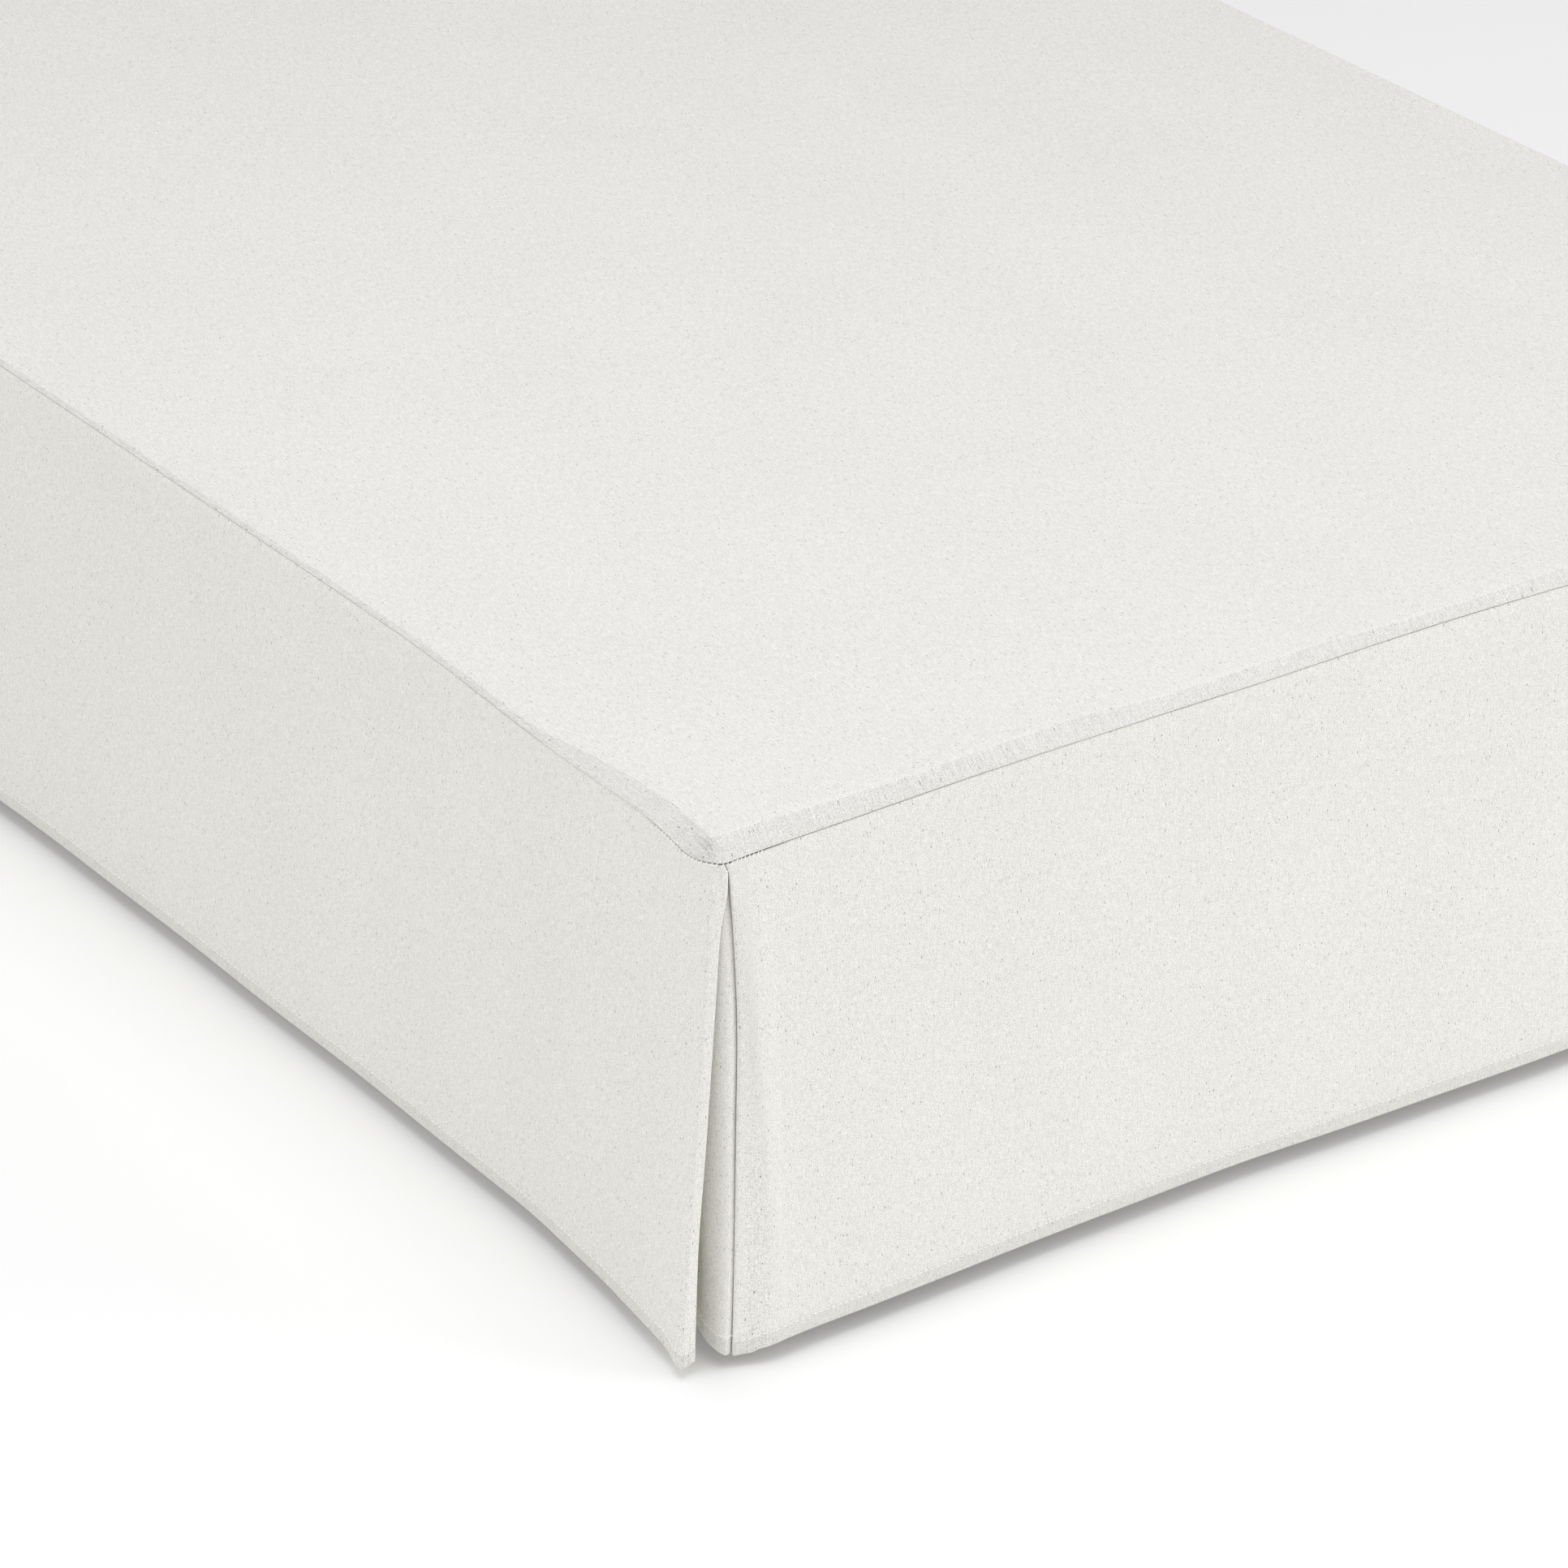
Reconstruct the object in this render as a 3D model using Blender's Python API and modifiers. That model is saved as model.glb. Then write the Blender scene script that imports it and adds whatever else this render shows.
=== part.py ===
"""Box spring cover on a box spring.

A flat top panel lies on the box spring.  Four skirt panels hang from its edge almost to the floor.
Each corner is an inverted pleat: two skirts end there in folded-back returns, and a pleat underlay
hangs behind the slit between them.  The box spring is a plain padded block on short legs.

The length runs along Y with the foot end at -Y, the width along X, and the floor is z = 0.
Near a corner, places are given from the corner of the top's straight edges, in millimetres:
"along" runs down the side that a skirt hangs on, "out" points away from the bed, "down" goes below
the top, and x and y run inward from the corner.  They are places on the outer face of the cloth.
"""

import math
from collections import namedtuple

import bmesh
import bpy
import numpy as np
from mathutils import Vector

MM = 0.001

# Driving dimensions of the bed and the cover, in metres.
BED_WIDTH = 0.900
BED_LENGTH = 2.000
TOP_WIDTH = 0.9064
TOP_LENGTH = 1.9970
COVER_DROP = 0.280
HEM_HEIGHT = 0.010
CLOTH = 0.0012
GAP = 0.0003

# The box spring and its legs, in metres.
TOP_HEIGHT = HEM_HEIGHT + COVER_DROP
BLOCK_TOP = TOP_HEIGHT - CLOTH - GAP
BLOCK_HEIGHT = 0.200
BLOCK_CORNER_RADIUS = 0.025
BLOCK_TOP_RADIUS = 0.012
BLOCK_BOTTOM_RADIUS = 0.006
LEG_RADIUS = 0.024
LEG_INSET = 0.110
LEG_SIDES = 24

# The cloth's seams and folds, in millimetres.
DROP = COVER_DROP / MM
SEAM_GAP = 1.4
SWELL_REACH = 5.0
FOLD_RADIUS = 1.95
TOP_INSET = 6.0
TOP_CORNER_RADIUS = 14.0
UNDERLAY_REACH = 70.0
UNDERLAY_BELOW_SEAM = 12.0
UNDERLAY_HEM_LIFT = 1.5

# Where the rounded rim of the top bends most, and the places across it that get a row of points.
RIM_KNEE = 0.8
RIM_ROWS = (0.0, 0.6, 1.0)

# Rows of the skirts and underlays from the seam to the hem, as shares of the drop.
DEPTHS = (0.0, 0.05, 0.13, 0.31, 0.55, 0.80, 1.0)

# Stations along half a long side, from its corner: (along, seam_out, seam_down, hem_out).
SIDE_RUN = (
    (8.0, 8.5, 9.7, 25.2),
    (22.0, 8.5, 6.7, 23.4),
    (40.0, 8.5, 4.4, 21.0),
    (64.0, 8.5, 3.2, 17.8),
    (107.0, 8.4, 3.0, 14.2),
    (149.0, 7.3, 3.0, 11.4),
    (190.0, 5.2, 2.4, 10.2),
    (232.0, 2.8, 2.2, 8.9),
    (280.0, 1.4, 2.2, 7.6),
    (359.0, 0.8, 2.2, 5.9),
    (480.0, 0.8, 2.2, 5.4),
    (720.0, 0.8, 2.2, 5.7),
)

# Stations along half a foot or head end, in the same columns.
END_RUN = (
    (30.0, 11.8, 10.0, 29.2),
    (50.0, 11.1, 9.8, 28.2),
    (76.0, 10.8, 9.3, 27.0),
    (115.0, 10.2, 8.4, 24.8),
    (157.0, 9.6, 7.6, 22.9),
    (200.0, 9.9, 6.6, 21.1),
    (250.0, 9.9, 6.2, 19.7),
    (310.0, 9.5, 6.2, 18.7),
    (372.0, 8.8, 5.8, 19.1),
    (425.0, 8.3, 5.3, 19.5),
)

# A long skirt's turn round its corner to the pleat's edge, by depth:
# (depth, bend_along, bend_out, nose_along, nose_out, edge_along, edge_out).
SIDE_TURN = (
    (0.00, -2.6, 7.6, -9.4, 4.9, -12.4, -0.4),
    (0.05, -3.5, 9.2, -10.6, 6.0, -12.4, -1.7),
    (0.13, -4.5, 10.4, -11.5, 7.4, -12.2, 0.4),
    (0.31, -5.0, 13.0, -12.6, 11.8, -12.7, 4.8),
    (0.55, -4.6, 17.8, -14.4, 17.4, -14.0, 11.0),
    (0.80, -3.5, 23.2, -16.2, 24.0, -14.6, 17.2),
    (1.00, -2.0, 26.6, -17.6, 28.6, -14.0, 19.0),
)

# An end skirt's roll from its last upright ridge to the pleat's edge, by depth:
# (depth, ridge_along, ridge_out, edge_along, edge_out).
END_TURN = (
    (0.00, 10.0, 13.2, 1.2, 12.2),
    (0.05, 10.0, 15.2, 3.2, 12.8),
    (0.13, 12.0, 17.0, 5.6, 13.4),
    (0.31, 16.0, 20.0, 7.0, 15.0),
    (0.55, 18.0, 23.6, 4.5, 17.5),
    (0.80, 20.0, 27.0, 1.5, 20.0),
    (1.00, 17.0, 29.6, -1.8, 22.6),
)

# A pleat underlay's way round the corner, by depth:
# (depth, side_x, flank_x, flank_y, nose_x, nose_y, turn_x, turn_y, end_y).
UNDERLAY_TURN = (
    (0.00, -3.4, -2.9, -1.0, 0.4, -5.2, 6.0, -7.8, -7.6),
    (0.05, -3.4, -3.6, -1.5, -0.4, -6.2, 6.2, -8.2, -7.8),
    (0.13, -3.4, -4.2, -1.5, -1.4, -7.8, 6.6, -8.8, -8.2),
    (0.31, -3.2, -5.0, -2.0, -2.8, -10.4, 6.8, -10.4, -9.2),
    (0.55, -2.6, -5.8, -3.5, -4.8, -13.6, 6.0, -12.8, -10.8),
    (0.80, -1.8, -6.8, -6.5, -7.4, -18.4, 4.8, -14.8, -12.0),
    (1.00, -1.2, -7.7, -10.4, -8.7, -22.6, 3.6, -15.4, -13.0),
)

# The dip of a long skirt's hem round its corner: (along, dip).
HEM_DIP = ((-18.0, 4.0), (-11.0, 3.4), (-5.0, 2.4), (0.0, 1.2), (8.0, 0.4), (30.0, 0.0))

# The corners, with the side of the bed that each is on and how far its pleat flares.
Corner = namedtuple("Corner", "name side_x side_y flare")
FOOT_LEFT = Corner("foot_left", -1, -1, 1.00)
FOOT_RIGHT = Corner("foot_right", 1, -1, 0.90)
HEAD_RIGHT = Corner("head_right", 1, 1, 1.00)
HEAD_LEFT = Corner("head_left", -1, 1, 0.86)
CORNERS = (FOOT_LEFT, FOOT_RIGHT, HEAD_RIGHT, HEAD_LEFT)

# The two kinds of skirt: stations, turn at the pleat, swell below the seam, steps between the
# turn's points, stations that the return reaches, and the length of the side.
Kind = namedtuple("Kind", "run turn swell turn_steps return_stations length")
SIDE = Kind(SIDE_RUN, SIDE_TURN, 1.0, (2, 2, 1), 3, TOP_LENGTH / MM)
END = Kind(END_RUN, END_TURN, 2.2, (3, 1), 2, TOP_WIDTH / MM)

# The skirts; billow is how much further out the hem stands in the half next to the last corner.
Skirt = namedtuple("Skirt", "name kind first last billow")
SKIRTS = (
    Skirt("skirt_left", SIDE, FOOT_LEFT, HEAD_LEFT, 0.8),
    Skirt("skirt_foot", END, FOOT_LEFT, FOOT_RIGHT, 1.8),
    Skirt("skirt_right", SIDE, FOOT_RIGHT, HEAD_RIGHT, 1.4),
    Skirt("skirt_head", END, HEAD_LEFT, HEAD_RIGHT, -1.5),
)

# Colours, linear, and roughness.
COVER_COLOUR = (0.83, 0.82, 0.79, 1.0)
UNDERLAY_COLOUR = (0.78, 0.765, 0.725, 1.0)
TICKING_COLOUR = (0.62, 0.60, 0.56, 1.0)
LEG_COLOUR = (0.075, 0.05, 0.035, 1.0)
CLOTH_ROUGHNESS = 0.9
LEG_ROUGHNESS = 0.5


def unit(vector):
    """A vector of length one."""
    return vector / np.linalg.norm(vector)


def row_at(table, place):
    """A table's other columns where its first column is at a place."""
    first, *others = np.array(table).T
    return np.array([np.interp(place, first, column) for column in others])


def smooth_through(points, steps):
    """A smooth line through 2-D points, with the given number of steps between each two."""
    points = np.array(points)
    lengths = np.linalg.norm(np.diff(points, axis=0), axis=1)[:, None]
    slopes = np.diff(points, axis=0) / lengths
    inner = slopes[:-1] * lengths[1:] + slopes[1:] * lengths[:-1]
    inner /= lengths[:-1] + lengths[1:]
    tangents = np.vstack((slopes[:1], inner, slopes[-1:]))
    line = []
    for index, count in enumerate(steps):
        for step in range(count):
            t = step / count
            line.append(
                points[index] * (1 + 2 * t) * (1 - t) ** 2
                + tangents[index] * lengths[index] * t * (1 - t) ** 2
                + points[index + 1] * t * t * (3 - 2 * t)
                + tangents[index + 1] * lengths[index] * t * t * (t - 1)
            )
    line.append(points[-1])
    return np.array(line)


def inset(line, distance):
    """A line moved towards the bed, kept parallel to its legs at each turn."""
    legs = np.diff(line, axis=0)
    legs /= np.linalg.norm(legs, axis=1)[:, None]
    middle = np.vstack((legs[:1], legs)) + np.vstack((legs, legs[-1:]))
    length = np.linalg.norm(middle, axis=1)[:, None]
    inward = np.column_stack((middle[:, 1], -middle[:, 0])) / length
    return line + inward * distance / (length / 2)


def hang(seam_out, hem_out, swell, depth):
    """How far out a skirt stands at a depth."""
    swollen = swell * (1 - math.exp(-depth * DROP / SWELL_REACH))
    return seam_out + swollen + (hem_out - seam_out - swell) * depth


def flared(table, depth, flare):
    """A turn table's row at a depth, its growth since the seam scaled by the corner's flare."""
    seam = row_at(table, 0.0)
    return seam + flare * (row_at(table, depth) - seam)


def run_points(kind, near_flare, far_flare, billow, depth):
    """The (along, out) places of half a skirt's stations at a depth."""
    points = []
    for along, seam_out, _, hem_out in kind.run:
        share = along / kind.length
        flare = near_flare + (far_flare - near_flare) * share
        hem = seam_out + flare * (hem_out - seam_out) + billow * math.sin(math.pi * share) ** 2
        points.append((along, hang(seam_out, hem, kind.swell, depth)))
    return points


def fold_at(edge, beyond):
    """The centre of the fold at a pleat's edge, and the way the cloth leaves it to a point beyond."""
    centre = edge + FOLD_RADIUS * unit(beyond - edge)
    reach = beyond - centre
    lean = math.asin(FOLD_RADIUS / np.linalg.norm(reach))
    onward = np.array((
        math.cos(lean) * reach[0] + math.sin(lean) * reach[1],
        math.cos(lean) * reach[1] - math.sin(lean) * reach[0],
    ))
    return centre, unit(onward)


def half_skirt(kind, near_flare, far_flare, billow, depth):
    """Half a skirt's section at a depth, from the end of its return to the middle of its side."""
    edge, *turn = flared(kind.turn, depth, near_flare).reshape(-1, 2)[::-1]
    centre, onward = fold_at(edge, turn[0])
    inward = np.array((onward[1], -onward[0]))
    fold = [
        centre + FOLD_RADIUS * (math.cos(angle) * inward - math.sin(angle) * onward)
        for angle in (math.pi / 3, 2 * math.pi / 3)
    ]
    run = run_points(kind, near_flare, far_flare, billow, depth)
    controls = np.array([centre - FOLD_RADIUS * inward, *turn, *run])
    front = smooth_through(controls, kind.turn_steps + (1,) * (len(run) - 1))
    folded = len(turn) + kind.return_stations
    behind = inset(controls[:folded + 2], 2 * FOLD_RADIUS)[:folded + 1]
    back = smooth_through(behind, kind.turn_steps + (1,) * (kind.return_stations - 1))
    return np.vstack((back[::-1], fold, front))


def down_at(kind, along, depth):
    """How far below the top a skirt lies at a depth."""
    seam_down = np.interp(along, [row[0] for row in kind.run], [row[2] for row in kind.run])
    start = seam_down + SEAM_GAP
    dip = row_at(HEM_DIP, along)[0] if kind is SIDE else 0.0
    return start + (DROP + dip - start) * depth


def world(corner, x, y, down):
    """A place inward from a corner and down, in the part's frame."""
    return Vector((
        corner.side_x * (TOP_WIDTH / 2 - x * MM),
        corner.side_y * (TOP_LENGTH / 2 - y * MM),
        TOP_HEIGHT - down * MM,
    ))


def skirt_place(kind, corner, along, out, down):
    """A place along and out from a corner and down, in the part's frame."""
    if kind is SIDE:
        return world(corner, -out, along, down)
    return world(corner, along, -out, down)


def skirt_rows(skirt):
    """A skirt's outer face as rows of points from the seam to the hem."""
    kind = skirt.kind
    rows = []
    for depth in DEPTHS:
        halves = []
        for near, far, billow in ((skirt.first, skirt.last, 0.0), (skirt.last, skirt.first, skirt.billow)):
            halves.append([
                skirt_place(kind, near, along, out, down_at(kind, along, depth))
                for along, out in half_skirt(kind, near.flare, far.flare, billow, depth)
            ])
        rows.append(halves[0] + halves[1][::-1])
    return rows


def underlay_rows(corner):
    """A pleat underlay's outer face, round its corner, as rows from the seam to the hem."""
    rows = []
    for depth in DEPTHS:
        side_x, *flank_nose_turn, end_y = flared(UNDERLAY_TURN, depth, corner.flare)
        controls = [
            (side_x + 0.2, UNDERLAY_REACH),
            (side_x, UNDERLAY_REACH / 5),
            *np.reshape(flank_nose_turn, (3, 2)),
            (UNDERLAY_REACH / 4, end_y),
            (UNDERLAY_REACH, end_y + 1.8),
        ]
        down = UNDERLAY_BELOW_SEAM + (DROP - UNDERLAY_HEM_LIFT - UNDERLAY_BELOW_SEAM) * depth
        rows.append([world(corner, x, y, down) for x, y in smooth_through(controls, (2, 2, 3, 3, 2, 2))])
    return rows


def seam_round(corner):
    """The seam round one corner as (x, y, down), from the side's middle to the end's middle."""
    seam = []
    for kind in (SIDE, END):
        section = half_skirt(kind, corner.flare, corner.flare, 0.0, 0.0)
        front = section[-(sum(kind.turn_steps) + len(kind.run)):]
        places = [(along, out, down_at(kind, along, 0.0) - SEAM_GAP) for along, out in front]
        if kind is SIDE:
            seam += [(-out, along, down) for along, out, down in reversed(places)]
        else:
            seam += [(along, -out, down) for along, out, down in places]
    return seam


def flat_place(x, y):
    """Where the flat of the top begins, inward of a place on the seam."""
    middle = TOP_INSET + TOP_CORNER_RADIUS
    if x < middle and y < middle:
        return middle + TOP_CORNER_RADIUS * unit(np.array((x - middle, y - middle)))
    return np.array((max(x, TOP_INSET), max(y, TOP_INSET)))


def top_rows():
    """The top panel's rounded rim, as closed rows from the flat out to the seam."""
    rows = [[] for _ in RIM_ROWS]
    for corner in CORNERS:
        seam = seam_round(corner)
        if corner.side_x * corner.side_y < 0:
            seam.reverse()
        for place in np.array(seam):
            flat = np.array((*flat_place(*place[:2]), 0.0))
            knee = flat + (place - flat) * (RIM_KNEE, RIM_KNEE, 0.0)
            for row, share in zip(rows, RIM_ROWS):
                point = flat * (1 - share) ** 2 + knee * 2 * share * (1 - share) + place * share ** 2
                row.append(world(corner, *point))
    return rows


def loft(name, rows, closed):
    """A mesh of the faces between rows of points; closed rows get a face across the first one."""
    mesh = bpy.data.meshes.new(name)
    shape = bmesh.new()
    grid = [[shape.verts.new(point) for point in row] for row in rows]
    count = len(rows[0])
    for upper, lower in zip(grid, grid[1:]):
        for index in range(count if closed else count - 1):
            beside = (index + 1) % count
            shape.faces.new((upper[index], lower[index], lower[beside], upper[beside]))
    if closed:
        shape.faces.new(grid[0])
    shape.normal_update()
    facing = sum(face.normal.dot(face.calc_center_median()) * face.calc_area() for face in shape.faces)
    if facing < 0:
        bmesh.ops.reverse_faces(shape, faces=shape.faces)
    shape.to_mesh(mesh)
    shape.free()
    return mesh


def material(name, colour, roughness):
    """A plain Principled material."""
    made = bpy.data.materials.new(name)
    made.use_nodes = True
    shader = made.node_tree.nodes["Principled BSDF"]
    shader.inputs["Base Color"].default_value = colour
    shader.inputs["Roughness"].default_value = roughness
    shader.inputs["Metallic"].default_value = 0.0
    return made


def add_part(name, mesh, surface, collection):
    """Put a mesh in the collection as a named sub-part with its own material."""
    part = bpy.data.objects.new(name, mesh)
    mesh.materials.append(surface)
    collection.objects.link(part)
    return part


def add_cloth(name, rows, colour, collection, closed=False):
    """A cloth panel: its outer face, thickened towards the bed."""
    surface = material(name, colour, CLOTH_ROUGHNESS)
    part = add_part(name, loft(name, rows, closed), surface, collection)
    thickness = part.modifiers.new("thickness", "SOLIDIFY")
    thickness.thickness = CLOTH
    thickness.offset = -1.0


def rounded_block(name, size):
    """A box with rounded upright edges, top edges and bottom edges, centred on its own origin."""
    mesh = bpy.data.meshes.new(name)
    shape = bmesh.new()
    bmesh.ops.create_cube(shape, size=1.0)
    bmesh.ops.scale(shape, vec=size, verts=shape.verts)
    half = size[2] / 2

    def round_edges(at_height, radius, segments):
        edges = [
            edge for edge in shape.edges
            if abs(sum(vert.co.z for vert in edge.verts) / 2 - at_height) < MM
        ]
        bmesh.ops.bevel(
            shape, geom=edges, offset=radius, segments=segments, profile=0.5, affect="EDGES")

    round_edges(0.0, BLOCK_CORNER_RADIUS, 5)
    round_edges(half, BLOCK_TOP_RADIUS, 4)
    round_edges(-half, BLOCK_BOTTOM_RADIUS, 2)
    shape.to_mesh(mesh)
    shape.free()
    return mesh


def leg_mesh(name, height):
    """A plain round leg, centred on its own origin."""
    mesh = bpy.data.meshes.new(name)
    shape = bmesh.new()
    bmesh.ops.create_cone(
        shape, cap_ends=True, segments=LEG_SIDES, radius1=LEG_RADIUS, radius2=LEG_RADIUS, depth=height)
    shape.to_mesh(mesh)
    shape.free()
    return mesh


def build_box_spring(collection):
    """The plain block that the cover falls over, and the legs that carry it."""
    mesh = rounded_block("box_spring", (BED_WIDTH, BED_LENGTH, BLOCK_HEIGHT))
    ticking = material("box_spring", TICKING_COLOUR, CLOTH_ROUGHNESS)
    block = add_part("box_spring", mesh, ticking, collection)
    block.location.z = BLOCK_TOP - BLOCK_HEIGHT / 2
    height = BLOCK_TOP - BLOCK_HEIGHT - GAP
    for corner in CORNERS:
        name = "leg_" + corner.name
        leg = add_part(name, leg_mesh(name, height), material(name, LEG_COLOUR, LEG_ROUGHNESS), collection)
        leg.location = (
            corner.side_x * (BED_WIDTH / 2 - LEG_INSET),
            corner.side_y * (BED_LENGTH / 2 - LEG_INSET),
            height / 2,
        )


def build_cover(collection):
    """The five panels and the four pleat underlays."""
    add_cloth("top_panel", top_rows(), COVER_COLOUR, collection, closed=True)
    for skirt in SKIRTS:
        add_cloth(skirt.name, skirt_rows(skirt), COVER_COLOUR, collection)
    for corner in CORNERS:
        add_cloth("pleat_" + corner.name, underlay_rows(corner), UNDERLAY_COLOUR, collection)


def main():
    for old in list(bpy.data.objects):
        bpy.data.objects.remove(old, do_unlink=True)
    collection = bpy.data.collections.new("box_spring_cover")
    bpy.context.scene.collection.children.link(collection)
    build_box_spring(collection)
    build_cover(collection)


main()
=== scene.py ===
"""The looks of a box spring cover and of the box spring that it falls over.

Near a corner of the bed, places are given in millimetres from the corner of the top's flat: "along"
runs down the side that a skirt hangs on, "out" points away from the bed, "down" goes below the top,
and x and y run inward from the corner.
"""

import math
from collections import namedtuple

import bmesh
import bpy
import numpy as np
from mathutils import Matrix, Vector


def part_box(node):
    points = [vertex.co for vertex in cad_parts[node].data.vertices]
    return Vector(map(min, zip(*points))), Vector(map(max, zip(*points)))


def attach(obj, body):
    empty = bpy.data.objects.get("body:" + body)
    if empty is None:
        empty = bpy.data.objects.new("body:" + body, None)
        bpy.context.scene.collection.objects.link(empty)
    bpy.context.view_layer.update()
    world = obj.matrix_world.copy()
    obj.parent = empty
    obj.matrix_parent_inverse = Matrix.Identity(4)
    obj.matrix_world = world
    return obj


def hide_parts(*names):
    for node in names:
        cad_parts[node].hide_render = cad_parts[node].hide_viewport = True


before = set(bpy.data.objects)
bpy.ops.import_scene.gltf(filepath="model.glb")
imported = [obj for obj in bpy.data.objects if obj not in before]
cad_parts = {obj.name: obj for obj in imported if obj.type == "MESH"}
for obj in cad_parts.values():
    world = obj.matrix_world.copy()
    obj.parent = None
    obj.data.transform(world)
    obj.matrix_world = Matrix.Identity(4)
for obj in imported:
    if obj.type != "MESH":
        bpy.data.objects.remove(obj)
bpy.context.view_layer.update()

MM = 0.001
RANDOM_SEED = 3

# ----------------------------------------------------------
# Sizes
# ----------------------------------------------------------

# The corner of the top's flat, from the box spring's own corner.
FLAT_BEYOND_SIDE = 3.2 * MM
FLAT_INSIDE_END = 1.5 * MM
HALF_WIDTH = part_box("box_spring")[1].x + FLAT_BEYOND_SIDE
HALF_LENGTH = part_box("box_spring")[1].y - FLAT_INSIDE_END
TOP_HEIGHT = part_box("top_panel")[1].z

# The cloth, in millimetres: DROP is from the flat to the hem's fold, and CLOTH is one ply.
WIDTH = 2 * HALF_WIDTH / MM
LENGTH = 2 * HALF_LENGTH / MM
DROP = 280.0
CLOTH = 0.6

# The hem, in millimetres: it turns up in HEM_STEPS steps, with PLY_GAP between its plies, its
# stitches run HEM_STITCH above its fold, and the look of double cloth sets in over DOUBLE_EDGE.
PLY_GAP = 0.2
HEM_RADIUS = (2 * CLOTH + PLY_GAP) / 2
HEM_STEPS = 6
HEM_STITCH = 8.5
DOUBLE_EDGE = 0.6

# The fold at a pleat's edge, in millimetres and degrees.  Beyond it, a skirt's waves grow as far
# as WAVES_FROM_FOLD, and its lip grows from a share of LIP_AT_FOLD as far as LIP_FROM_FOLD.
FOLD_RADIUS = 1.4
FOLD_STEP = 30
WAVES_FROM_FOLD = 40.0
LIP_FROM_FOLD = 8.0
LIP_AT_FOLD = 0.3

# How soon a skirt swells out below its seam, in millimetres, and the shares of the way to its
# last corner over which its billow sets in.
SWELL_REACH = 5.0
BILLOW_FROM = 0.25
BILLOW_FULL = 0.75

# The seam, in millimetres: each lip curls in by its radius and runs on into the groove.  An open
# skirt begins SKIRT_BELOW_SEAM lower, which leaves room for both lips.
LIP_RADIUS = 0.45
LIP_RUN = 1.2
LIP_STEPS = 4
LIP_RUN_STEPS = 2
SEAM_GAP = 0.3
SKIRT_BELOW_SEAM = 3 * LIP_RADIUS

# The top's rim, in millimetres, from RIM_INSET inside the flat's corner.  Its rows of points are
# one on the flat, two on either side of the bend at its edge, those at shares of the slope, one at
# the seam, and the lip's.  The bend takes at most BEND_SHARE of the flat's or the slope's length.
RIM_INSET = 8.0
RIM_BEND = 2.0
RIM_MARK = 0.35
BEND_SHARE = 0.45
SLOPE_SHARES = (0.4, 0.75)
RIM_ROWS = 6 + len(SLOPE_SHARES) + LIP_STEPS + LIP_RUN_STEPS
CORNER_STEPS = 6

# The underlays of the pleats, in millimetres: how far they reach along both sides, where their
# straight parts begin and how far these stray, the steps between their points, how far below the
# flat they begin, and how far above a skirt's hem they end.
UNDERLAY_REACH = 70.0
UNDERLAY_SIDE_FROM = 14.0
UNDERLAY_END_FROM = 17.5
UNDERLAY_SIDE_STRAY = 0.2
UNDERLAY_END_STRAY = 1.8
UNDERLAY_STEPS = (12, 6, 8, 8, 5, 12)
UNDERLAY_TOP = 12.0
UNDERLAY_LIFT = 1.5

# Stitches, in millimetres.  Their places stray at random, and HEM_SHARES, LADDER_LENGTH_SHARES and
# LADDER_SLANT_SHARES are the least and the most that each takes of the pitch, length or slant.
# HEM_THREAD and LADDER_THREAD are the threads' radii.
HEM_PITCH = 3.9
HEM_STRAY = 0.12
HEM_SHARES = (0.74, 0.84)
HEM_THREAD = 0.34
LADDER_PITCH = 2.6
LADDER_STRAY = 0.15
LADDER_LENGTH = 2.4
LADDER_LENGTH_SHARES = (0.85, 1.1)
LADDER_SLANT = 0.5
LADDER_SLANT_SHARES = (0.6, 1.3)
LADDER_THREAD = 0.26
LADDER_STEPS = 4

# The places of the ladder's line along the long side and along the end.
LADDER_SIDE = (33.0, 26.0, 19.0, 13.0)
LADDER_END = (12.0, 16.0, 20.0, 25.0)

# The tacks above a pleat: (x, y, down), their length, and the way they run, inward and up.
TACKS = ((3.2, -13.6, 15.0), (4.6, -13.8, 19.4), (5.0, -14.0, 21.3))
TACK_LENGTH = 1.9
TACK_RUN = (-1.0, -0.35, 0.5)

# A stitch's mesh: its ends taper to THREAD_TIP of its section, its middle stands THREAD_RISE over
# the cloth, and its ends lie THREAD_DIVE lower, in the thread's own radii.
THREAD_SIDES = 6
THREAD_RINGS = 7
THREAD_TIP = 0.02
THREAD_RISE = 0.9
THREAD_DIVE = 1.6

# The OFBake map: the outer face lies in its lower half, the inner face is shifted to the upper
# half, and the edges are strips beside them.
BAKE_MARGIN = 0.01
BAKE_HALF_TOP = 0.48
BAKE_SHIFT = 0.51
BAKE_EDGE = 0.006

# Spans and steps of the rows down a skirt, in millimetres: (from, to, steps).  HEM_ROWS picks
# the rows, counted from the last, that the turned-up hem follows inside.
SKIRT_ROWS = ((0, 6, 6), (6, 20, 6), (20, 262, 42), (262, 270, 4), (270, 273, 4), (273, DROP, 4))
HEM_ROWS = (-2, -4, -6, -9)

# Steps along a side, in millimetres: NEAR_STEP up to NEAR_REACH from the corner, then RUN_STEP.
RUN_STEP = 8.0
NEAR_STEP = 3.0
NEAR_REACH = 70.0

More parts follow.
